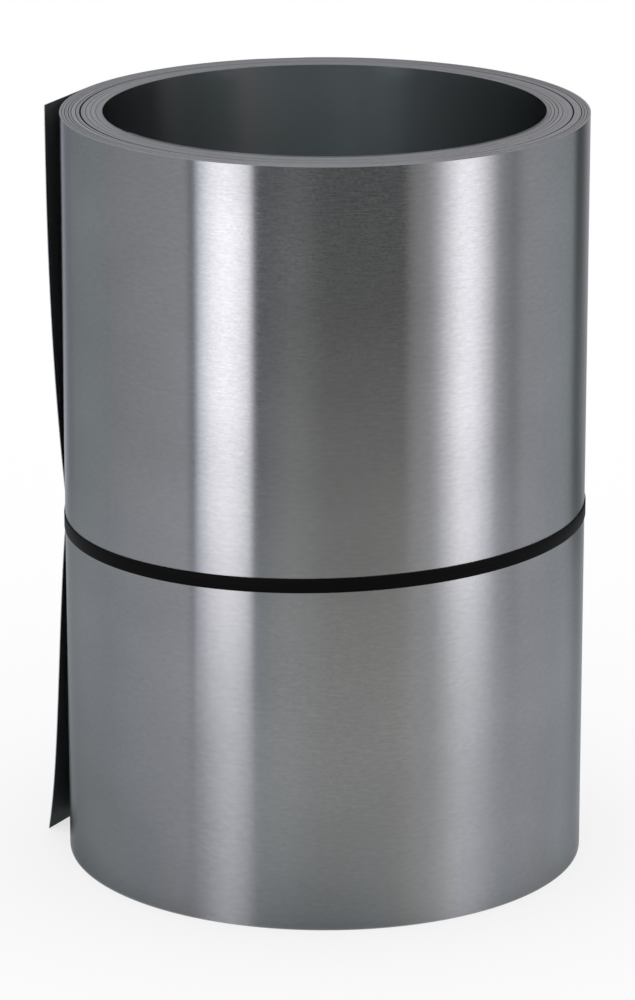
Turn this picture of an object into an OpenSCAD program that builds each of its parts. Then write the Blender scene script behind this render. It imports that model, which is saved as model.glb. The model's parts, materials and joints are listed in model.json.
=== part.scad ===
// Coil of zinc sheet, standing on one end and held by one plastic strap.
// The turns lie close together, with looser turns that show as lines on both ends.
// The free end of the sheet springs off the coil above and below the strap.
// +Z is the axis of the bore, and Z = 0 is the end that the coil stands on.

/* [Coil] */
// Width of the sheet, which is the height of the standing coil
sheet_w = 700; // [450:10:1000]
// Diameter of the bore
bore_d = 400; // [300:10:510]
// Thickness of all the turns together, from the bore to the outside
wound_t = 40; // [20:1:120]
// Thickness of the sheet
sheet_t = 0.7; // [0.5:0.05:1.2]

/* [Turn lines on both ends] */
// Distance from one line between turns to the next
line_pitch = 4; // [2:0.5:8]
// Width of a line
line_w = 0.4; // [0.2:0.1:0.8]
// Depth of the lines and of the loose turn's gap
line_depth = 3; // [1:0.5:8]
// Distance from the bore to the middle of the loose turn's gap
loose_at = 22; // [4:1:90]
// Width of the loose turn's gap
loose_w = 1.6; // [0.8:0.1:3]

/* [Free end of the sheet] */
// Direction of the free edge, counted from +X towards +Y
edge_angle = 176; // [120:1:178]
// Distance that the top corner stands off the coil
top_lift = 15; // [4:0.5:30]
// Distance that the bottom corner stands off the coil
bottom_lift = 22; // [4:0.5:35]
// Length of the last stretch that still lies on the coil
seated_len = 26; // [15:1:60]

/* [Strap] */
// Width of the strap
strap_w = 13; // [9:0.5:19]
// Thickness of the strap
strap_t = 0.9; // [0.5:0.1:1.3]
// Height of the strap's middle above the floor
strap_z = 324; // [120:1:420]
// Slope of the strap, in degrees, which is lower on the -X side
strap_tilt = 1.5; // [0:0.1:4]
// Length of the welded overlap
lap_len = 45; // [20:5:80]
// Direction of the middle of the overlap
lap_angle = 75; // [40:1:100]
// Clearance between the strap and the sheet under it
strap_gap = 0.1; // [0.05:0.05:0.3]

/* [Hidden] */
$fn = 180;

bore_r = bore_d / 2;
outer_r = bore_r + wound_t;

// Free end: a sheet that stands off by lift runs straight from where it leaves the coil
function straight_run(lift) = sqrt(pow(outer_r + lift, 2) - pow(outer_r, 2));
tail_len = seated_len + straight_run(max(top_lift, bottom_lift));
root_angle = edge_angle - tail_len / outer_r * 180 / PI;
tail_columns = 18;
rows_below = 14;
rows_above = 14;

// The inner face dips this far into the coil wherever the sheet lies on it
tuck = 1.5;
// The gap under the sheet is closed where it is narrower than about half of this
closing_gap = 0.8;

// The strap holds the free end flat from a little below its lower edge to a little above
hold_margin = 1.5;
hold_half = strap_w / 2 / cos(strap_tilt) + hold_margin;
function strap_mid(a) = strap_z + outer_r * cos(a) * tan(strap_tilt);
hold_top = max(strap_mid(root_angle), strap_mid(edge_angle)) + hold_half;
hold_bottom = min(strap_mid(root_angle), strap_mid(edge_angle)) - hold_half;

// Strap: one point every strap_step degrees, and ramps where it climbs the free end
strap_step = 1.5;
ramp_angle = acos(outer_r / (outer_r + sheet_t));
lap_half = lap_len / outer_r * 90 / PI;

// Distance that the free edge stands off the coil at height z
function lift_above(u) = top_lift * (1 - pow(1 - u, 2.4));
function lift_below(u) = bottom_lift * (0.72 * pow(u, 0.7) + 0.28 * pow(u, 6));
function lift(z) =
    z > hold_top ? lift_above((z - hold_top) / (sheet_w - hold_top)) :
    z < hold_bottom ? lift_below((hold_bottom - z) / hold_bottom) : 0;

// Point of the free end at a length along it, at height z, raised off its face
function free_end(along, z, raise) =
    let (leaves = tail_len - straight_run(lift(z)))
    let (a = root_angle + min(along, leaves) / outer_r * 180 / PI)
    let (past = max(0, along - leaves))
    [(outer_r + raise) * cos(a) - past * sin(a), (outer_r + raise) * sin(a) + past * cos(a), z];

// Gap between the coil and the free end
function gap_under(along, z) =
    let (p = free_end(along, z, 0)) norm([p.x, p.y]) - outer_r;

function inner_raise(along, z) = -tuck * max(0, 1 - gap_under(along, z) / closing_gap);
function outer_raise(along) = along == 0 ? -tuck / 3 : sheet_t;

// Two triangles of a four-sided patch, whose corners run clockwise seen from outside
function patch(a, b, c, d) = [[a, b, c], [a, c, d]];

// The turns as one turned solid, with the lines between the looser turns on both ends
module wound_turns() {
    line_count = ceil(wound_t / line_pitch) - 1;
    rotate_extrude()
        difference() {
            translate([bore_r, 0]) square([wound_t, sheet_w]);
            for (i = [1 : line_count])
                end_groove(bore_r + i * line_pitch, line_w);
            end_groove(bore_r + loose_at, loose_w);
        }
}

// Section of one groove around both ends
module end_groove(r, width) {
    for (z = [0, sheet_w])
        translate([r, z]) square([width, 2 * line_depth], center = true);
}

// The last stretch of the sheet, one closed skin of two faces and four edges
module sprung_end() {
    columns = tail_columns;
    xs = [for (i = [0 : columns]) tail_len * i / columns];
    zs = [
        for (j = [0 : rows_below]) hold_bottom * j / rows_below,
        for (j = [0 : rows_above]) hold_top + (sheet_w - hold_top) * j / rows_above
    ];
    rows = len(zs) - 1;
    outside = [for (z = zs) for (s = xs) free_end(s, z, outer_raise(s))];
    inside = [for (z = zs) for (s = xs) free_end(s, z, inner_raise(s, z))];
    n = len(outside);
    w = columns + 1;
    faces = [
        for (j = [0 : rows - 1]) for (i = [0 : columns - 1])
            let (k = j * w + i)
            each concat(patch(k, k + w, k + w + 1, k + 1),
                        patch(n + k, n + k + 1, n + k + w + 1, n + k + w)),
        for (i = [0 : columns - 1])
            let (k = rows * w + i)
            each concat(patch(i, i + 1, n + i + 1, n + i),
                        patch(k + 1, k, n + k, n + k + 1)),
        for (j = [0 : rows - 1])
            let (k = j * w, e = k + columns)
            each concat(patch(k + w, k, n + k, n + k + w),
                        patch(e, e + w, n + e + w, n + e))
    ];
    polyhedron(points = concat(outside, inside), faces = faces, convexity = 4);
}

// The whole rolled sheet is one piece
module zinc_coil() {
    color([0.50, 0.51, 0.53]) {
        wound_turns();
        sprung_end();
    }
}

// Height of the strap's path over the coil: it climbs over the free end between its ramps
function climb(a) =
    let (before = (a - root_angle) / ramp_angle + 1)
    let (after = (edge_angle - a) / ramp_angle + 1)
    sheet_t * max(0, min(1, before, after));

function path_r(a) = outer_r + strap_gap + climb(a);
function plies(a) = abs(a - lap_angle) <= lap_half ? 2 : 1;
function ring(extra) = [
    for (a = [0 : strap_step : 360 - strap_step])
        (path_r(a) + extra * plies(a)) * [cos(a), sin(a)]
];

// One flat band around the coil, with its two ends welded on top of each other
module strap() {
    room = 4 * strap_w + 4 * outer_r * sin(strap_tilt);
    color([0.08, 0.08, 0.08])
        intersection() {
            translate([0, 0, strap_z - room / 2])
                linear_extrude(room)
                    difference() {
                        polygon(ring(strap_t));
                        polygon(ring(0));
                    }
            translate([0, 0, strap_z])
                rotate([0, -strap_tilt, 0])
                    cube([3 * outer_r, 3 * outer_r, strap_w], center = true);
        }
}

zinc_coil();
strap();
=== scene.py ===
import json
import math

import bpy
import numpy as np
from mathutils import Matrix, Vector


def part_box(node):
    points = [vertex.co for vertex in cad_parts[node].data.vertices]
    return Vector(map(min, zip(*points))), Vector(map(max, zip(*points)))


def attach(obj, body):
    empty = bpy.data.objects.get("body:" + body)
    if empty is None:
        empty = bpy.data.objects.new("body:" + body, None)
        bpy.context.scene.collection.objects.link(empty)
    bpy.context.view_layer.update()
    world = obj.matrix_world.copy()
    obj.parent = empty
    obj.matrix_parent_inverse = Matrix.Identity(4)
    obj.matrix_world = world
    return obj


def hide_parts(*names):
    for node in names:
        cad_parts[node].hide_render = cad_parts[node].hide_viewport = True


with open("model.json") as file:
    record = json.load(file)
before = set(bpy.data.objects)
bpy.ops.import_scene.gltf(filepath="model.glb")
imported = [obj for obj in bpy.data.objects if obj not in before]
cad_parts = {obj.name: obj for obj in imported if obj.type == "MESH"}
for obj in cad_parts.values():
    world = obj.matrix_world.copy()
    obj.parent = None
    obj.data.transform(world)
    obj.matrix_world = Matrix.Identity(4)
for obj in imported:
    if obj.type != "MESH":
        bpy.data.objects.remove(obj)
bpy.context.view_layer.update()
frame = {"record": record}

# ---------------------------------------------------------------- sizes from the frame, in metres
coil_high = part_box("zinc_coil")[1]
strap_low, strap_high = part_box("strap")
bore_mount = next(m for m in frame["record"]["mounts"] if m["name"] == "bore")
BORE_R = bore_mount["dims"]["r_mm"] / 1000
OUTER_R = coil_high.x
HEIGHT = coil_high.z
FULL_TURN = 2 * math.pi
BUMP_POWER = 1.3                  # how fast a bump rises from its ends
# Edges sharper than this are shaded as edges
SHEET_SHARP, STRAP_SHARP = math.radians(40), math.radians(50)

# ---------------------------------------------------------------- the wound sheet
SHEET_T = 0.0007
STEPS = 180                       # columns of the mesh in one turn
INNER_END = math.radians(-150)    # direction of the sheet's inner end
FREE_EDGE = math.radians(176)     # direction of its free outer edge
WHOLE_TURNS = 48
COLUMNS = WHOLE_TURNS * STEPS + round((FREE_EDGE - INNER_END) / FULL_TURN * STEPS)
TURNS = COLUMNS / STEPS           # turns wound when the sheet ends

# Where turns stand apart: turns outside the gap, the direction where it is widest in degrees,
# half the arc that it runs over in degrees, and its width in metres
LEFT, RIGHT = 192, 0
GAPS = [
    (3, LEFT, 85, 0.00045), (6, LEFT, 75, 0.00045), (10, LEFT, 80, 0.00053),
    (13, LEFT, 70, 0.00050), (18, LEFT, 75, 0.00068), (22, LEFT, 100, 0.00155),
    (28, LEFT, 80, 0.00036), (34, LEFT, 85, 0.00036), (40, LEFT, 75, 0.00032),
    (3, RIGHT, 75, 0.00045), (6, RIGHT, 70, 0.00030), (9, RIGHT, 90, 0.00070),
    (18, RIGHT, 100, 0.00135), (30, RIGHT, 80, 0.00050), (35, RIGHT, 75, 0.00045),
    (39, RIGHT, 80, 0.00045), (43, RIGHT, 70, 0.00040),
]
# The outermost face is OUTER_R from the axis where it points straight back, so that the
# strap over it stays inside the frame's box. All the gaps on one radius add up to SLACK.
PAST_BACK = (FREE_EDGE - math.radians(90)) / FULL_TURN
SLACK = (OUTER_R - BORE_R - SHEET_T * (TURNS + 1 - PAST_BACK)) / (1 - PAST_BACK / TURNS)
EDGE_R = BORE_R + SHEET_T * TURNS + SLACK      # inner face at the free edge
# So that no two turns overlap, the gaps on one side take up no more than this share of SLACK:
# where they would, all of them are narrowed by GAP_FIT
MOST_OPEN = 0.98
OPEN_WIDTHS = [sum(gap[3] for gap in GAPS if gap[1] == side) for side in (LEFT, RIGHT)]
GAP_FIT = min(1, MOST_OPEN * SLACK / max(OPEN_WIDTHS))

# Turns slip up along the axis, each by its own share of SLIP: SLIP_SHARE of it, give or take
# waves of the number of turns (rate, shift and size, of which one part in WAVE_PART counts), and
# PROUD_SHARE more at the inner end, which stands proud for about PROUD_TURNS
SLIP = 0.0014
SLIP_SHARE, PROUD_SHARE, WAVE_PART = 0.25, 0.65, 50
SLIP_WAVES = [(1.9, 0.4, 1.0), (4.3, 2.0, 0.7), (9.7, 1.0, 0.5)]
PROUD_TURNS = 1.1

# A small dent in the outer turn's top edge, at the back
DENT_DEPTH = 0.0009
DENT_ANGLE = math.radians(99)
DENT_HALF_ARC = math.radians(5)

# ---------------------------------------------------------------- the strap
STRAP_W, STRAP_T = 0.013, 0.0009
STRAP_CORNER = 0.0003             # radius of its rounded edges
STRAP_TILT = math.radians(1.5)
STRAP_Z = (strap_low.z + strap_high.z) / 2
STRAP_CLEAR = 0.00005
LAP_ANGLE = math.radians(75)
LAP_LEN = 0.045
LAP_RAMP, LAP_PAST = 0.030, 0.006      # radians of the climb onto the lap, and of its room
WELD_LEN, WELD_PITCH, WELD_DEPTH = 0.030, 0.0022, 0.00010      # ridges of the weld on the lap
# Columns of its mesh: round the coil and the lap, on the climb, and on each ridge
STRAP_STEPS, RAMP_STEPS, RIDGE_STEPS = 400, 12, 8

# ---------------------------------------------------------------- the free end
TAIL_COLUMNS = 20
TAIL_ROWS = 40
SETTLING = 4                      # columns that it takes to settle to the radius EDGE_R
SPLIT = COLUMNS - TAIL_COLUMNS    # the column where it starts
# How far its edge stands off the coil at the top and at the bottom corner. The bottom's lift is
# made of two shares, each with its power of the distance below the strap.
TOP_LIFT, TOP_POWER = 0.015, 2.4
BOTTOM_LIFT = 0.022
BOTTOM_SHARES = [(0.72, 0.7), (0.28, 6)]
# The strap holds this much flat, up and down from HOLD_Z
HOLD_PAST = 0.002
HOLD_HALF = STRAP_W / 2 + HOLD_PAST
HOLD_Z = STRAP_Z + OUTER_R * math.cos(FREE_EDGE) * math.tan(STRAP_TILT)


def bump(angle, centre, half_width):
    """1 at centre, falling smoothly to 0 at half_width on either side."""
    off = np.abs((angle - centre + math.pi) % FULL_TURN - math.pi) / half_width
    return np.cos(np.minimum(off, 1) * math.pi / 2) ** BUMP_POWER


def turn_angle(s):
    """Direction of the sheet after s turns."""
    return INNER_END + FULL_TURN * s


def inner_radius(s):
    """Radius of the sheet's inner face after s turns."""
    angle = turn_angle(s)
    r = BORE_R + SHEET_T * s
    opened = np.zeros_like(s)
    for outside, side, half_arc, width in GAPS:
        # a gap starts on the far side of the coil, where its own bump is 0
        far_side = (math.radians(side + 180) - INNER_END) / FULL_TURN
        start = round(TURNS - outside - 0.5 - far_side) + far_side
        apart = GAP_FIT * width * bump(angle, math.radians(side), math.radians(half_arc))
        r = r + apart * (s > start)
        opened = opened + apart
    return r + (SLACK - opened) * s / TURNS


def seated_radius(s):
    """Radius of the sheet's inner face where it lies on the coil, the free end's part too."""
    settled = np.clip((s * STEPS - SPLIT) / SETTLING, 0, 1)
    return (1 - settled) * inner_radius(s) + settled * EDGE_R


def slip(s):
    """How far a turn has slipped up, from 0 to SLIP."""
    waves = sum(size * np.sin(s * rate + shift) for rate, shift, size in SLIP_WAVES)
    proud = np.exp(-(s / PROUD_TURNS) ** 2)
    return SLIP * (SLIP_SHARE + waves / WAVE_PART + PROUD_SHARE * proud)


def edge_lift(z):
    """How far the free edge stands off the coil at height z."""
    above = np.clip((z - HOLD_Z - HOLD_HALF) / (HEIGHT - HOLD_Z - HOLD_HALF), 0, 1)
    below = np.clip((HOLD_Z - HOLD_HALF - z) / (HOLD_Z - HOLD_HALF), 0, 1)
    return TOP_LIFT * (1 - (1 - above) ** TOP_POWER) + \
        BOTTOM_LIFT * sum(share * below ** power for share, power in BOTTOM_SHARES)


# ---------------------------------------------------------------- the sheet's mesh
# its faces: outer, inner, the two cut edges and the two ends
OUT, IN, TOP, BOTTOM, END = range(5)
MATERIAL_OF = np.array([0, 1, 2, 2, 2])
TAIL_BACK = 3


def wound_points(angle, r, low, top):
    """Points of the wound turns, as column, side and place: four corners at each column.

    A side is 1 outside and 0 inside.
    """
    points = []
    for c in range(SPLIT):
        x, y = math.cos(angle[c]), math.sin(angle[c])
        ri, ro = r[c], r[c] + SHEET_T
        points += [
            (c, 1, (ro * x, ro * y, low[c])),
            (c, 1, (ro * x, ro * y, top[c])),
            (c, 0, (ri * x, ri * y, top[c])),
            (c, 0, (ri * x, ri * y, low[c])),
        ]
    return points


def tail_points(length, edge_r, seats, low, high):
    """Points of the free end, as column, side and place: rows of them, because it bends.

    At each height it follows the coil, and then runs straight on to its edge.
    """
    tail_len = length[-1] - length[SPLIT]
    root_angle = FREE_EDGE - tail_len / edge_r
    half = TAIL_ROWS // 2
    heights = np.concatenate([
        np.linspace(0, HOLD_Z - HOLD_HALF, half),
        np.linspace(HOLD_Z + HOLD_HALF, HEIGHT, half),
    ])
    lifts = [float(edge_lift(height)) for height in heights]
    runs = [math.sqrt((edge_r + lift) ** 2 - edge_r ** 2) for lift in lifts]
    points = []
    for c in range(SPLIT, COLUMNS + 1):
        along = length[c] - length[SPLIT]
        for side in (1, 0):
            r = seats[c] + side * SHEET_T
            for height, run in zip(heights, runs):
                turned = root_angle + min(along, tail_len - run) / edge_r
                past = max(0.0, along - (tail_len - run))
                x, y = math.cos(turned), math.sin(turned)
                z = low[c] + height / HEIGHT * (high[c] - low[c])
                points.append((c, side, (r * x - past * y, r * y + past * x, z)))
    return points


def outer(k, j):
    """Index of the point on the outside of the free end, in its column k and row j."""
    return 4 * SPLIT + k * 2 * TAIL_ROWS + j


def inner(k, j):
    """Index of the point on the inside of the free end, in its column k and row j."""
    return outer(k, j) + TAIL_ROWS


def coil_faces():
    """Faces of the sheet, as kind and points."""
    faces = []
    for c in range(SPLIT - 1):
        a, b = 4 * c, 4 * (c + 1)
        faces += [
            (OUT, (a, b, b + 1, a + 1)),
            (TOP, (a + 1, b + 1, b + 2, a + 2)),
            (IN, (a + 2, b + 2, b + 3, a + 3)),
            (BOTTOM, (a + 3, b + 3, b, a)),
        ]
    # from the last corners of the wound turns to the free end's first column
    a = 4 * (SPLIT - 1)
    rows = range(TAIL_ROWS)
    top = TAIL_ROWS - 1
    faces += [
        (OUT, (a, *[outer(0, j) for j in rows], a + 1)),
        (TOP, (a + 1, outer(0, top), inner(0, top), a + 2)),
        (IN, (a + 2, *[inner(0, j) for j in reversed(rows)], a + 3)),
        (BOTTOM, (a + 3, inner(0, 0), outer(0, 0), a)),
    ]
    for k in range(TAIL_COLUMNS):
        for j in range(top):
            faces += [
                (OUT, (outer(k, j), outer(k + 1, j), outer(k + 1, j + 1), outer(k, j + 1))),
                (IN, (inner(k, j), inner(k, j + 1), inner(k + 1, j + 1), inner(k + 1, j))),
            ]
        faces += [
            (TOP, (outer(k, top), outer(k + 1, top), inner(k + 1, top), inner(k, top))),
            (BOTTOM, (outer(k, 0), inner(k, 0), inner(k + 1, 0), outer(k + 1, 0))),
        ]
    faces.append((END, (0, 1, 2, 3)))
    k = TAIL_COLUMNS
    for j in range(top):
        faces.append((END, (outer(k, j), inner(k, j), inner(k, j + 1), outer(k, j + 1))))
    return faces


def bake_places(kind, first, column, side, height):
    """A flat layout of the sheet, one row for each turn: the turns in sight get nearly all of it.

    Each value is given by corner: its face's kind and first column, and its own column, side
    and height, as a share of the sheet's height.
    """
    outside = (COLUMNS - 1 - first) // STEPS       # whole turns outside this face
    inmost = outside.max()
    turns = WHOLE_TURNS + 1
    # which corners, the number of their row, where row 0 starts, the step from row to row, and a
    # row's height; the sheet's two narrow ends lie over the start of the row before theirs
    layout = [
        ((kind == OUT) & (outside == 0), 0, 0.0, 0.0, 0.51),
        ((kind == IN) & (outside >= inmost - 1), inmost - outside, 0.52, 0.14, 0.135),
        ((kind == IN) & (outside == 0), 0, 0.81, 0.0, 0.04),
        (kind == END, 0, 0.84, 0.0, 0.01),
        (kind == TOP, outside, 0.86, 0.08 / turns, 0.07 / turns),
        (kind == BOTTOM, outside, 0.94, 0.02 / turns, 0.018 / turns),
        (kind == OUT, outside, 0.96, 0.02 / turns, 0.018 / turns),
        (kind == IN, outside, 0.98, 0.02 / turns, 0.018 / turns),
    ]
    corners = [row[0] for row in layout]
    start = np.select(corners, [begin + index * pitch for _, index, begin, pitch, _ in layout])
    size = np.select(corners, [row[4] for row in layout])
    along = (column - (COLUMNS - (outside + 1) * STEPS)) / STEPS
    u = np.where(kind == END, 0.01 * side, along)
    across = np.where((kind == TOP) | (kind == BOTTOM), side, height)
    return u, start + across * size


def add_map(mesh, name, u, v):
    layer = mesh.uv_layers.new(name=name)
    layer.data.foreach_set("uv", np.stack([u, v], 1).astype(np.float32).ravel())


def add_object(name, mesh):
    piece = bpy.data.objects.new(name, mesh)
    bpy.context.scene.collection.objects.link(piece)
    return piece


def build_coil():
    s = np.arange(COLUMNS + 1) / STEPS
    angle = turn_angle(s)
    r = inner_radius(s)
    low = slip(s)
    high = HEIGHT - SLIP + low
    dent = DENT_DEPTH * bump(angle, DENT_ANGLE, DENT_HALF_ARC) * (s > TURNS - 1)
    step_len = (r[1:] + r[:-1]) / 2 * FULL_TURN / STEPS
    length = np.concatenate([[0], np.cumsum(step_len)])      # of the sheet up to each column
    columns, sides, places = zip(*wound_points(angle, r, low, high - dent),
                                 *tail_points(length, r[-1], seated_radius(s), low, high))
    kinds, faces = zip(*coil_faces())
    mesh = bpy.data.meshes.new("zinc_sheet")
    mesh.from_pydata(places, [], faces)
    coil = add_object("wound_zinc_sheet", mesh)

    kinds, columns, sides = np.array(kinds), np.array(columns), np.array(sides)
    loops = np.empty(len(mesh.loops), np.int32)
    mesh.loops.foreach_get("vertex_index", loops)
    sizes = np.array([len(face) for face in faces])
    first = np.minimum.reduceat(columns[loops], np.cumsum(sizes) - sizes)    # column of each face
    height = np.array(places)[loops, 2] / HEIGHT
    add_map(mesh, "Sheet", length[columns[loops]], height * HEIGHT)
    add_map(mesh, "OFBake", *bake_places(np.repeat(kinds, sizes), np.repeat(first, sizes),
                                         columns[loops], sides[loops], height))
    slots = MATERIAL_OF[kinds]
    slots[(kinds == IN) & (first >= SPLIT)] = TAIL_BACK
    mesh.polygons.foreach_set("material_index", slots.astype(np.int32))
    mesh.polygons.foreach_set("use_smooth", np.ones(len(kinds), bool))
    mesh.set_sharp_from_angle(angle=SHEET_SHARP)
    mesh.update()
    return coil


# ---------------------------------------------------------------- the strap's mesh
def coil_radius(lap):
    """Outer radius of the coil under the strap, at an angle lap before the free edge."""
    return float(seated_radius(np.array([TURNS - lap / FULL_TURN]))[0]) + SHEET_T


def strap_seat(angle):
    """Radius of the strap's inner face: taut round the coil and over the free edge's step."""
    lap = (FREE_EDGE - angle) % FULL_TURN
    seat = coil_radius(lap)
    low = coil_radius(FULL_TURN)
    bridge = math.acos(low / (EDGE_R + SHEET_T))
    past = FULL_TURN - lap
    if past < bridge:
        seat = low / math.cos(bridge - past)
    return seat + STRAP_CLEAR


def weld_press(past_middle):
    """How deep the weld's ridges press the strap, at a distance past the middle of the lap."""
    if abs(past_middle) > WELD_LEN / 2:
        return 0.0
    return WELD_DEPTH * (0.5 + 0.5 * math.cos(FULL_TURN * past_middle / WELD_PITCH))


def strap_section():
    """Outline of the strap, as distances out from its inner face and up from its middle."""
    section = []
    for cx, cz, first in ((1, 1, 0), (0, 1, 90), (0, 0, 180), (1, 0, 270)):
        for degrees in range(first, first + 91, 30):
            a = math.radians(degrees)
            section.append((
                STRAP_CORNER + cx * (STRAP_T - 2 * STRAP_CORNER) + STRAP_CORNER * math.cos(a),
                (cz - 0.5) * (STRAP_W - 2 * STRAP_CORNER) + STRAP_CORNER * math.sin(a)))
    return section


def build_strap():
    section = strap_section()
    lap = LAP_LEN / OUTER_R
    start = LAP_ANGLE - lap / 2
    middle = FULL_TURN + lap / 2
    weld_half = WELD_LEN / 2 / OUTER_R
    weld_steps = RIDGE_STEPS * round(WELD_LEN / WELD_PITCH)
    # the climb ends before the lower ply starts, and a column stands on the free edge's corner
    climb_end = FULL_TURN - LAP_PAST
    runs = np.unique(np.concatenate([
        np.linspace(0, FULL_TURN + lap, STRAP_STEPS + 1),
        np.linspace(climb_end - LAP_RAMP, climb_end, RAMP_STEPS + 1),
        np.linspace(middle - weld_half, middle + weld_half, weld_steps + 1),
        [(FREE_EDGE - start) % FULL_TURN],
    ]).round(6))
    columns = len(runs) - 1
    verts, faces = [], []
    n = len(section)
    for run in runs:
        a = start + run
        press = weld_press((run - middle) * OUTER_R)
        climb = min(max((run - climb_end) / LAP_RAMP + 1, 0), 1)
        seat = strap_seat(a) + climb * climb * (3 - 2 * climb) * (STRAP_T + STRAP_CLEAR)
        for out, up in section:
            r = seat + out - press * (out > STRAP_T / 2)
            z = STRAP_Z + r * math.cos(a) * math.tan(STRAP_TILT) + up
            verts.append((r * math.cos(a), r * math.sin(a), z))
    for c in range(columns):
        for k in range(n):
            a, b = c * n + k, c * n + (k + 1) % n
            faces.append((a, a + n, b + n, b))
    faces.append(tuple(range(n)))
    faces.append(tuple(reversed(range(columns * n, columns * n + n))))
    mesh = bpy.data.meshes.new("strap_band")
    mesh.from_pydata(verts, [], faces)
    mesh.polygons.foreach_set("use_smooth", np.ones(len(faces), bool))
    mesh.set_sharp_from_angle(angle=STRAP_SHARP)
    mesh.update()
    return add_object("binding_strap", mesh)


# ---------------------------------------------------------------- materials
NOISE_LOW, NOISE_HIGH = 0.3, 0.7       # noise stays mostly between these
# Noise on the sheet: its features' length along the sheet and width across it, in metres, then
# its detail and seed, and for the last one its roughness
GRAIN = (0.0030, 0.0013, 1.0, 3.1)
STREAKS = (0.016, 0.0013, 1.0, 7.7)
TONE = (0.008, 0.0032, 1.0, 9.4)
CLOUDS = (0.160, 0.100, 2.0, 1.3)
WAVES = (0.040, 1.500, 2.0, 5.2)
# From one turn to the next the length grows by about 1.4 m, so each turn's edge has its own tone
EDGE_TONE = (0.35, 5.0, 0.0, 4.4)
EDGE_GRAIN = (0.012, 5.0, 2.0, 2.2, 0.6)
# Heights of the relief in metres
GRAIN_RELIEF, WAVE_RELIEF, STRAP_RELIEF = 0.000006, 0.00012, 0.00001


def new_material(name):
    mat = bpy.data.materials.new(name)
    mat.use_nodes = True
    return mat, mat.node_tree, mat.node_tree.nodes["Principled BSDF"]


def noise(nt, coords, scale, detail, rough, seed):
    """Noise of features 1/scale metres long on each axis."""
    mapping = nt.nodes.new("ShaderNodeMapping")
    mapping.inputs["Scale"].default_value = scale
    mapping.inputs["Location"].default_value = (seed, seed * 0.7, 0)
    texture = nt.nodes.new("ShaderNodeTexNoise")
    texture.inputs["Scale"].default_value = 1.0
    texture.inputs["Detail"].default_value = detail
    texture.inputs["Roughness"].default_value = rough
    nt.links.new(coords, mapping.inputs["Vector"])
    nt.links.new(mapping.outputs[0], texture.inputs["Vector"])
    return texture.outputs["Fac"]


def sheet_place(nt):
    """Place on the unrolled sheet: metres along it and up it."""
    node = nt.nodes.new("ShaderNodeUVMap")
    node.uv_map = "Sheet"
    return node.outputs[0]


def sheet_noise(nt, place, length, width, detail, seed, rough=0.5):
    """Noise on the sheet, of features this long and this wide in metres."""
    return noise(nt, place, (1 / length, 1 / width, 1), detail, rough, seed)


def ranged(nt, value, low, high, new_low, new_high):
    """A value that runs from low to high, made to run from new_low to new_high."""
    node = nt.nodes.new("ShaderNodeMapRange")
    for name, number in (("From Min", low), ("From Max", high),
                         ("To Min", new_low), ("To Max", new_high)):
        node.inputs[name].default_value = number
    nt.links.new(value, node.inputs["Value"])
    return node.outputs[0]


def stretched(nt, value, new_low, new_high):
    """Noise made to run from new_low to new_high."""
    return ranged(nt, value, NOISE_LOW, NOISE_HIGH, new_low, new_high)


def maths(nt, operation, a, b):
    node = nt.nodes.new("ShaderNodeMath")
    node.operation = operation
    for socket, value in zip(node.inputs, (a, b)):
        if isinstance(value, (int, float)):
            socket.default_value = value
        else:
            nt.links.new(value, socket)
    return node.outputs[0]


def blended(nt, a, share, b):
    """A share of one value, and the rest from another."""
    return maths(nt, "ADD", maths(nt, "MULTIPLY", a, share), maths(nt, "MULTIPLY", b, 1 - share))


def mixed(nt, factor, a, b):
    """Two colours mixed by a value."""
    node = nt.nodes.new("ShaderNodeMix")
    node.data_type = "RGBA"
    nt.links.new(factor, node.inputs["Factor"])
    node.inputs["A"].default_value = (*a, 1)
    node.inputs["B"].default_value = (*b, 1)
    return node.outputs["Result"]


def raised(nt, relief):
    """A bump of the given height in metres."""
    node = nt.nodes.new("ShaderNodeBump")
    node.inputs["Distance"].default_value = 1.0
    node.inputs["Strength"].default_value = 1.0
    nt.links.new(relief, node.inputs["Height"])
    return node.outputs[0]


def sheet_material(name, dark, light, roughness, varies, metallic):
    """Rolled zinc: a short fine grain along the sheet, longer streaks and slow clouds.

    Its roughness varies by a share of itself, up and down.
    """
    mat, nt, shader = new_material(name)
    shader.inputs["Metallic"].default_value = metallic
    shader.inputs["Anisotropic"].default_value = 1.0
    shader.inputs["Anisotropic Rotation"].default_value = 0.25
    shader.inputs["Specular Tint"].default_value = (0.5, 0.5, 0.5, 1)
    tangent = nt.nodes.new("ShaderNodeTangent")
    tangent.direction_type = "RADIAL"
    tangent.axis = "Z"
    nt.links.new(tangent.outputs[0], shader.inputs["Tangent"])

    place = sheet_place(nt)
    fine = blended(nt, sheet_noise(nt, place, *GRAIN), 0.6, sheet_noise(nt, place, *STREAKS))
    shade = blended(nt, sheet_noise(nt, place, *TONE), 0.33, sheet_noise(nt, place, *CLOUDS))
    waves = sheet_noise(nt, place, *WAVES)
    nt.links.new(mixed(nt, stretched(nt, shade, 0, 1), dark, light), shader.inputs["Base Color"])
    nt.links.new(stretched(nt, fine, roughness * (1 + varies), roughness * (1 - varies)),
                 shader.inputs["Roughness"])
    relief = maths(nt, "ADD", maths(nt, "MULTIPLY", fine, GRAIN_RELIEF),
                   maths(nt, "MULTIPLY", waves, WAVE_RELIEF))
    nt.links.new(raised(nt, relief), shader.inputs["Normal"])
    return mat


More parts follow.
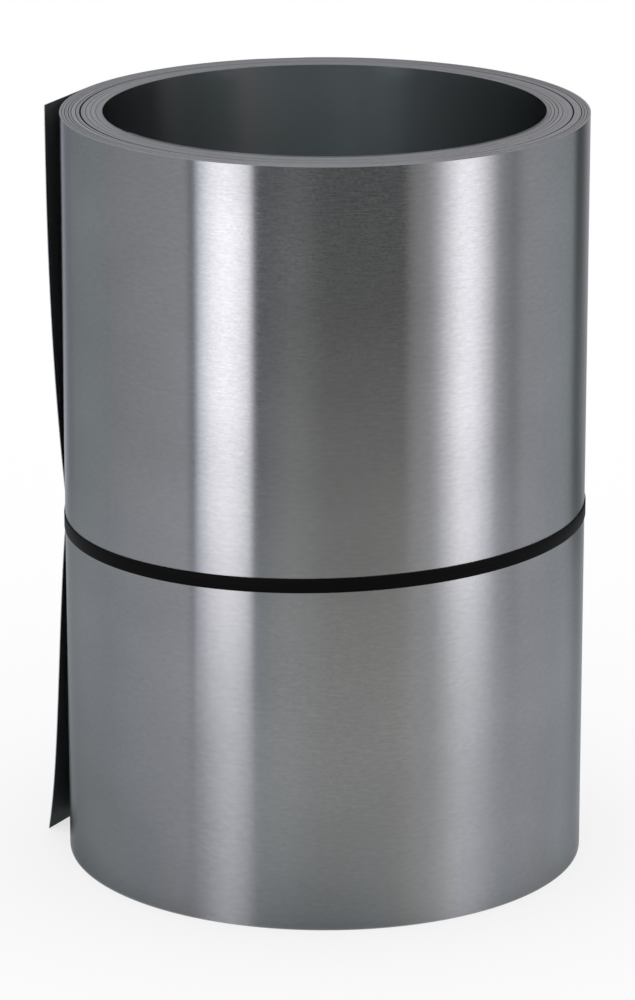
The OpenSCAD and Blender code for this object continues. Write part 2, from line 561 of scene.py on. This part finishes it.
def cut_edge_material(dark, light):
    """The slit edges of the sheet: duller, with a tone for each turn and a fine grain."""
    mat, nt, shader = new_material("zinc_cut_edge")
    shader.inputs["Metallic"].default_value = 0.5
    shader.inputs["Roughness"].default_value = 0.5
    place = sheet_place(nt)
    shade = blended(nt, sheet_noise(nt, place, *EDGE_TONE), 0.75,
                    sheet_noise(nt, place, *EDGE_GRAIN))
    nt.links.new(mixed(nt, stretched(nt, shade, 0, 1), dark, light), shader.inputs["Base Color"])
    return mat


def strap_material(dark, light):
    """Black plastic band: satin, with faint lines along it."""
    mat, nt, shader = new_material("strap_black")
    shader.inputs["Roughness"].default_value = 0.48
    shader.inputs["Specular IOR Level"].default_value = 0.02
    coords = nt.nodes.new("ShaderNodeTexCoord")
    lines = noise(nt, coords.outputs["Object"], (12, 12, 1500), 2.0, 0.5, 0.0)
    nt.links.new(mixed(nt, stretched(nt, lines, 0, 1), dark, light), shader.inputs["Base Color"])
    nt.links.new(raised(nt, maths(nt, "MULTIPLY", lines, STRAP_RELIEF)), shader.inputs["Normal"])
    return mat


coil = build_coil()
# in the order of MATERIAL_OF and TAIL_BACK
coil.data.materials.append(sheet_material(
    "zinc_face", dark=(0.249, 0.255, 0.261), light=(0.297, 0.303, 0.310),
    roughness=0.22, varies=0.19, metallic=1.0))
coil.data.materials.append(sheet_material(
    "zinc_back", dark=(0.222, 0.246, 0.251), light=(0.262, 0.288, 0.293),
    roughness=0.24, varies=0.09, metallic=0.95))
coil.data.materials.append(cut_edge_material(
    dark=(0.262, 0.262, 0.278), light=(0.442, 0.442, 0.466)))
coil.data.materials.append(sheet_material(
    "zinc_tail_back", dark=(0.222, 0.240, 0.245), light=(0.262, 0.280, 0.287),
    roughness=0.30, varies=0.10, metallic=0.80))
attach(coil, "root")
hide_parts("zinc_coil")

strap = build_strap()
strap.data.materials.append(strap_material(
    dark=(0.0035, 0.0035, 0.0035), light=(0.0065, 0.0065, 0.0065)))
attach(strap, "root")
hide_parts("strap")


# ---------------------------------------------------------------- studio
# A light tent that shows only in reflections: its wall by direction, in degrees from -Y and
# minus towards -X, with its brightness and tint. It has a crisp strip light on the left, a soft
# one on the right, a dark flag between them and another at the far right.
TENT_R = 1.25
TENT_STEPS = 128
TENT_FOOT = 0.001                 # height of the wall's foot over the floor
STRIPS_H = 0.74                   # and of its upper edge
COOL, PINK, VIOLET = (0.95, 1.0, 1.05), (1.0, 0.975, 1.01), (0.99, 0.99, 1.04)
WARM, BLUE, TEAL = (1.03, 1.0, 0.96), (0.94, 0.98, 1.10), (0.94, 1.01, 1.04)
ROSE, LILAC, PLAIN = (1.10, 0.98, 1.0), (0.98, 0.985, 1.05), (1.0, 1.01, 1.0)
TENT = [
    (-150, 1.02, BLUE), (-144, 0.64, BLUE), (-138, 0.66, BLUE), (-133.5, 0.82, TEAL),
    (-101, 0.69, TEAL), (-97, 0.70, VIOLET), (-55.8, 0.80, VIOLET), (-54.4, 0.10, BLUE),
    (-52.9, 0.10, BLUE), (-52.2, 1.65, BLUE), (-46, 3.6, PINK), (-40, 4.15, PINK),
    (-34, 3.6, PINK), (-29.5, 2.75, PINK), (-28.8, 0.14, BLUE), (-10, 0.14, WARM),
    (0, 0.02, WARM), (30.5, 0.01, WARM), (32.8, 0.33, WARM), (42, 0.80, PINK),
    (49, 2.3, PINK), (54, 3.5, PINK), (60, 3.55, PINK), (66, 2.40, PINK),
    (73, 0.85, VIOLET), (81, 0.52, VIOLET), (87, 0.82, VIOLET), (126, 0.96, TEAL),
    (129, 0.27, TEAL), (137, 0.27, TEAL), (145, 0.66, VIOLET), (175, 1.02, BLUE),
]
# The wall's brightness rises from FOOT_LIGHT at the floor to its full value at FULL_H
FULL_H, FOOT_LIGHT = 0.30, 0.92
# Light that the paper throws on the lower part of the two dark flags, and how high it reaches.
# On the far flag it comes in over FLAG_FOOT_H.
GLOW = [(-29, 0, WARM), (-14, 0.58, WARM), (0, 0.56, WARM), (28, 0.52, WARM), (45, 0, WARM)]
FAR_GLOW = [(126, 0, TEAL), (129, 0.20, TEAL), (138, 0.29, TEAL), (143, 0.25, TEAL), (149, 0, TEAL)]
GLOW_REACH = 0.40
FLAG_FOOT_H = 0.05
# The paper layer in front of the far flag has the flag's shade painted in, more and more from
# FLAG_SHADE_R outwards
FLAG_SHADE = [(118, 0, PLAIN), (128, 0.75, PLAIN), (147, 0.75, PLAIN), (157, 0, PLAIN)]
FLAG_SHADE_R = 1.00
# The tent's top, which narrows from its wall at TENT_H to an open vent, as radius and height.
# Its brightness grows with height, from ROOF_DIM at STRIPS_H to ROOF_BRIGHT at ROOF_H.
TENT_H = 1.10
VENT = (0.40, 1.80)
ROOF_H, ROOF_DIM, ROOF_BRIGHT = 1.4, 0.20, 1.57
ROOF = [
    (-180, 0.20, TEAL), (-134, 0.17, TEAL), (-114, 0.20, TEAL), (-99, 0.26, TEAL),
    (-86, 0.45, COOL), (-74, 0.40, COOL), (-66, 0.55, COOL), (-57, 0.66, COOL),
    (-47, 0.90, TEAL), (-38, 1.16, COOL), (-28, 1.06, COOL), (-23, 0.92, TEAL),
    (-14, 1.05, COOL), (-5, 0.90, TEAL), (0, 0.89, TEAL), (14, 0.84, TEAL),
    (18, 0.95, TEAL), (23, 0.90, TEAL), (33, 1.02, TEAL), (45, 1.32, ROSE),
    (51, 1.16, ROSE), (57, 0.88, TEAL), (68, 0.66, TEAL), (80, 0.58, TEAL),
    (85, 0.52, TEAL), (91, 0.92, ROSE), (100, 0.98, ROSE), (105, 0.70, ROSE),
    (109, 0.10, ROSE), (123, 0.12, ROSE), (147, 0.24, ROSE), (175, 0.20, TEAL),
]
# A painted reflection of the paper, as the coil shows it, by the direction of the face that shows
# it: FOOT at the coil's foot, and PAPER from SHADE_R outwards, with light and shade painted into
# their brightness. It is a glowing layer just over the floor and clear of the coil.
SHADE_R = 0.75
LAYER_Z, LAYER_CLEAR = 0.0005, 0.001
# Its painted shade at the coil's foot fades out at CONTACT_R
CONTACT_R, CONTACT_LIGHT = OUTER_R + 0.04, 0.8
# The middle of the narrow patch between the free end and the coil, where painted shade stands for
# the little light it gets, and the distances from it where the patch's painted shade ends and where
# the full light starts
TAIL_PATCH = (-0.244, 0.051, 0)
PATCH_LIGHT, PATCH_R, PATCH_CLEAR_R = 0.2, 0.025, 0.050
FOOT = [
    (-99, 0.85, COOL), (-90, 0.68, TEAL), (-62, 0.57, TEAL), (-46, 0.51, COOL),
    (-34, 0.58, LILAC), (-30, 0.60, LILAC), (-28, 0.65, LILAC), (-26, 0.72, LILAC),
    (-24, 0.84, LILAC), (-22, 0.93, LILAC), (-20, 0.87, LILAC), (-18, 0.75, LILAC),
    (-16, 0.60, TEAL), (-12, 0.54, TEAL), (-5, 0.45, TEAL), (5, 0.46, TEAL),
    (10, 0.51, TEAL), (16, 0.58, PLAIN), (19, 0.65, PLAIN), (24, 0.77, PLAIN),
    (28, 0.88, PLAIN), (31, 0.92, LILAC), (36, 0.86, LILAC), (42, 0.77, COOL),
    (48, 0.75, LILAC), (60, 0.77, VIOLET), (68, 0.95, TEAL), (76, 1.00, COOL),
    (90, 0.85, COOL),
]
PAPER = [
    (-99, 0.85, COOL), (-88, 0.68, COOL), (-78, 0.90, COOL), (-73, 1.00, COOL),
    (-68, 0.91, COOL), (-58, 0.75, COOL), (-50, 0.80, COOL), (-40, 0.88, LILAC),
    (-34, 0.95, LILAC), (-30.5, 1.0, LILAC), (-28, 0.72, LILAC), (-25, 0.86, LILAC),
    (-21, 1.08, LILAC), (-18, 0.88, LILAC), (-15, 1.0, COOL), (-11, 1.04, PLAIN),
    (-5, 0.98, PLAIN), (0, 0.94, WARM), (8, 0.92, WARM), (14, 0.95, WARM),
    (17.5, 1.02, WARM), (24, 0.95, PLAIN), (31, 0.98, PLAIN), (37, 1.07, LILAC),
    (42, 1.07, LILAC), (47, 1.0, LILAC), (56, 0.97, LILAC), (63, 1.0, COOL),
    (68, 1.19, COOL), (73, 1.20, COOL), (80, 0.85, COOL),
]
# The floor: a disc of white paper, and the share of its brightness that is its own
FLOOR_R = 40
FLOOR_STEPS = 96
FLOOR_OWN = 0.68
# The camera: its place, how many degrees it looks down and turns, and its lens and sensor in mm
CAMERA_PLACE = (-0.038, -4.3, 1.606)
CAMERA_DOWN, CAMERA_TURN = 16.51, -0.419
CAMERA_LENS, CAMERA_SENSOR = 174.8, 36


def by_direction(nt, table, spread=None):
    """A colour that follows a table of direction, brightness and tint.

    Where spread is given, the table's directions are multiplied by it.
    """
    coords = nt.nodes.new("ShaderNodeTexCoord")
    mapping = nt.nodes.new("ShaderNodeMapping")
    radial = nt.nodes.new("ShaderNodeTexGradient")
    ramp = nt.nodes.new("ShaderNodeValToRGB")
    radial.gradient_type = "RADIAL"
    mapping.inputs["Rotation"].default_value = (0, 0, math.radians(90))
    nt.links.new(coords.outputs["Object"], mapping.inputs[0])
    nt.links.new(mapping.outputs[0], radial.inputs[0])
    around = radial.outputs["Fac"]
    if spread:
        around = maths(nt, "DIVIDE", maths(nt, "SUBTRACT", around, 0.5), spread)
        around = maths(nt, "ADD", around, 0.5)
    nt.links.new(around, ramp.inputs[0])
    stops = ramp.color_ramp.elements
    while len(stops) < len(table):
        stops.new(0.5)
    for stop, (degrees, value, tint) in zip(stops, table):
        stop.position = (degrees + 180) / 360
        stop.color = (*[value * part for part in tint], 1)
    return ramp.outputs[0]


def added(nt, colour, factor, base):
    """A colour times a factor, added to a base colour."""
    node = nt.nodes.new("ShaderNodeVectorMath")
    node.operation = "MULTIPLY_ADD"
    for socket, value in zip(node.inputs, (colour, factor, base)):
        nt.links.new(value, socket)
    return node.outputs[0]


def faded(nt, factor, a, b):
    """Two linked colours mixed by a value."""
    node = nt.nodes.new("ShaderNodeMix")
    node.data_type = "RGBA"
    for name, value in (("Factor", factor), ("A", a), ("B", b)):
        nt.links.new(value, node.inputs[name])
    return node.outputs["Result"]


def own_place(nt):
    """Position on the piece."""
    return nt.nodes.new("ShaderNodeTexCoord").outputs["Object"]


def own_height(nt):
    """Height on the piece."""
    parts = nt.nodes.new("ShaderNodeSeparateXYZ")
    nt.links.new(own_place(nt), parts.inputs[0])
    return parts.outputs["Z"]


def distance_from(nt, point):
    """Distance from a point of the piece."""
    node = nt.nodes.new("ShaderNodeVectorMath")
    node.operation = "DISTANCE"
    nt.links.new(own_place(nt), node.inputs[0])
    node.inputs[1].default_value = point
    return node.outputs["Value"]


def distance_out(nt):
    """Distance from the middle of the piece."""
    node = nt.nodes.new("ShaderNodeVectorMath")
    node.operation = "LENGTH"
    nt.links.new(own_place(nt), node.inputs[0])
    return node.outputs["Value"]


def glow_material(name):
    """A material that only gives light."""
    mat = bpy.data.materials.new(name)
    mat.use_nodes = True
    nt = mat.node_tree
    nt.nodes.clear()
    out = nt.nodes.new("ShaderNodeOutputMaterial")
    emit = nt.nodes.new("ShaderNodeEmission")
    nt.links.new(emit.outputs[0], out.inputs["Surface"])
    return mat, nt, emit


def reflected_only(name, rings, material):
    """A piece of the studio that shows only in reflections: a skin from ring to ring."""
    n = len(rings)
    verts, faces = [], []
    for k in range(TENT_STEPS):
        a = FULL_TURN * k / TENT_STEPS
        verts += [(radius * math.cos(a), radius * math.sin(a), z) for radius, z in rings]
    for k in range(TENT_STEPS):
        a, b = n * k, n * ((k + 1) % TENT_STEPS)
        faces += [(a + j, a + j + 1, b + j + 1, b + j) for j in range(n - 1)]
    mesh = bpy.data.meshes.new(name)
    mesh.from_pydata(verts, [], faces)
    mesh.materials.append(material)
    piece = add_object(name, mesh)
    piece.visible_camera = False
    piece.visible_diffuse = False
    piece.visible_shadow = False


def build_wall():
    wall, nt, emit = glow_material("tent_cloth")
    height = own_height(nt)
    thrown = ranged(nt, height, 0, GLOW_REACH, 1, 0)
    lit = added(nt, by_direction(nt, GLOW), thrown, by_direction(nt, TENT))
    thrown = maths(nt, "MULTIPLY", thrown, ranged(nt, height, 0, FLAG_FOOT_H, 0, 1))
    lit = added(nt, by_direction(nt, FAR_GLOW), thrown, lit)
    nt.links.new(lit, emit.inputs["Color"])
    nt.links.new(ranged(nt, height, 0, FULL_H, FOOT_LIGHT, 1), emit.inputs["Strength"])
    reflected_only("light_tent", [(TENT_R, TENT_FOOT), (TENT_R, STRIPS_H)], wall)


def build_top():
    top, nt, emit = glow_material("tent_top")
    nt.links.new(by_direction(nt, ROOF), emit.inputs["Color"])
    nt.links.new(ranged(nt, own_height(nt), STRIPS_H, ROOF_H, ROOF_DIM, ROOF_BRIGHT),
                 emit.inputs["Strength"])
    reflected_only("tent_top", [(TENT_R, STRIPS_H), (TENT_R, TENT_H), VENT], top)


def build_paper_shade():
    # A painted reflection of the paper, with painted shade at the coil's foot, under the free end
    # and in front of the far flag
    shade, nt, emit = glow_material("paper_shade")
    far = distance_out(nt)
    # a face of the coil shows paper in a direction that is this many times its own: 1 at the
    # coil's foot, and more the farther out the paper lies
    spread = maths(nt, "SUBTRACT", 2, maths(nt, "DIVIDE", OUTER_R, far))
    paper = faded(nt, ranged(nt, far, OUTER_R, SHADE_R, 0, 1),
                  by_direction(nt, FOOT, spread), by_direction(nt, PAPER, spread))
    nt.links.new(paper, emit.inputs["Color"])
    contact = ranged(nt, far, OUTER_R, CONTACT_R, CONTACT_LIGHT, 1)
    under_tail = ranged(nt, distance_from(nt, TAIL_PATCH), PATCH_R, PATCH_CLEAR_R, PATCH_LIGHT, 1)
    flag_shade = maths(nt, "MULTIPLY", by_direction(nt, FLAG_SHADE),
                       ranged(nt, far, FLAG_SHADE_R, TENT_R, 0, 1))
    light = maths(nt, "MULTIPLY", contact, under_tail)
    light = maths(nt, "MULTIPLY", light, maths(nt, "SUBTRACT", 1, flag_shade))
    nt.links.new(light, emit.inputs["Strength"])
    reflected_only("paper_shade", [(OUTER_R + LAYER_CLEAR, LAYER_Z), (TENT_R, LAYER_Z)], shade)


def floor_material():
    """White paper: part of its brightness is its own, for every ray that shows it."""
    mat, nt, shader = new_material("floor_paper")
    shader.inputs["Base Color"].default_value = (1 - FLOOR_OWN, 1 - FLOOR_OWN, 1 - FLOOR_OWN, 1)
    shader.inputs["Roughness"].default_value = 1.0
    shader.inputs["Specular IOR Level"].default_value = 0.0
    shader.inputs["Emission Color"].default_value = (1, 1, 1, 1)
    path = nt.nodes.new("ShaderNodeLightPath")
    seen = maths(nt, "MAXIMUM", path.outputs["Is Camera Ray"], path.outputs["Is Glossy Ray"])
    seen = maths(nt, "MAXIMUM", seen, path.outputs["Is Transmission Ray"])
    nt.links.new(maths(nt, "MULTIPLY", seen, FLOOR_OWN), shader.inputs["Emission Strength"])
    return mat


def build_floor():
    angles = [FULL_TURN * k / FLOOR_STEPS for k in range(FLOOR_STEPS)]
    verts = [(FLOOR_R * math.cos(a), FLOOR_R * math.sin(a), 0) for a in angles]
    mesh = bpy.data.meshes.new("floor")
    mesh.from_pydata(verts, [], [tuple(range(FLOOR_STEPS))])
    mesh.materials.append(floor_material())
    add_object("studio_floor", mesh)


def build_world():
    world = bpy.data.worlds.new("studio")
    bpy.context.scene.world = world
    world.use_nodes = True
    background = world.node_tree.nodes["Background"]
    background.inputs["Color"].default_value = (1, 1, 1, 1)
    background.inputs["Strength"].default_value = 1.0


def build_camera():
    data = bpy.data.cameras.new("camera")
    camera = add_object("camera", data)
    camera.location = CAMERA_PLACE
    camera.rotation_euler = (math.radians(90 - CAMERA_DOWN), 0, math.radians(CAMERA_TURN))
    data.sensor_width = CAMERA_SENSOR
    data.lens = CAMERA_LENS
    bpy.context.scene.camera = camera


build_floor()
build_wall()
build_top()
build_paper_shade()
build_world()
build_camera()
bpy.context.scene.view_settings.view_transform = "Standard"
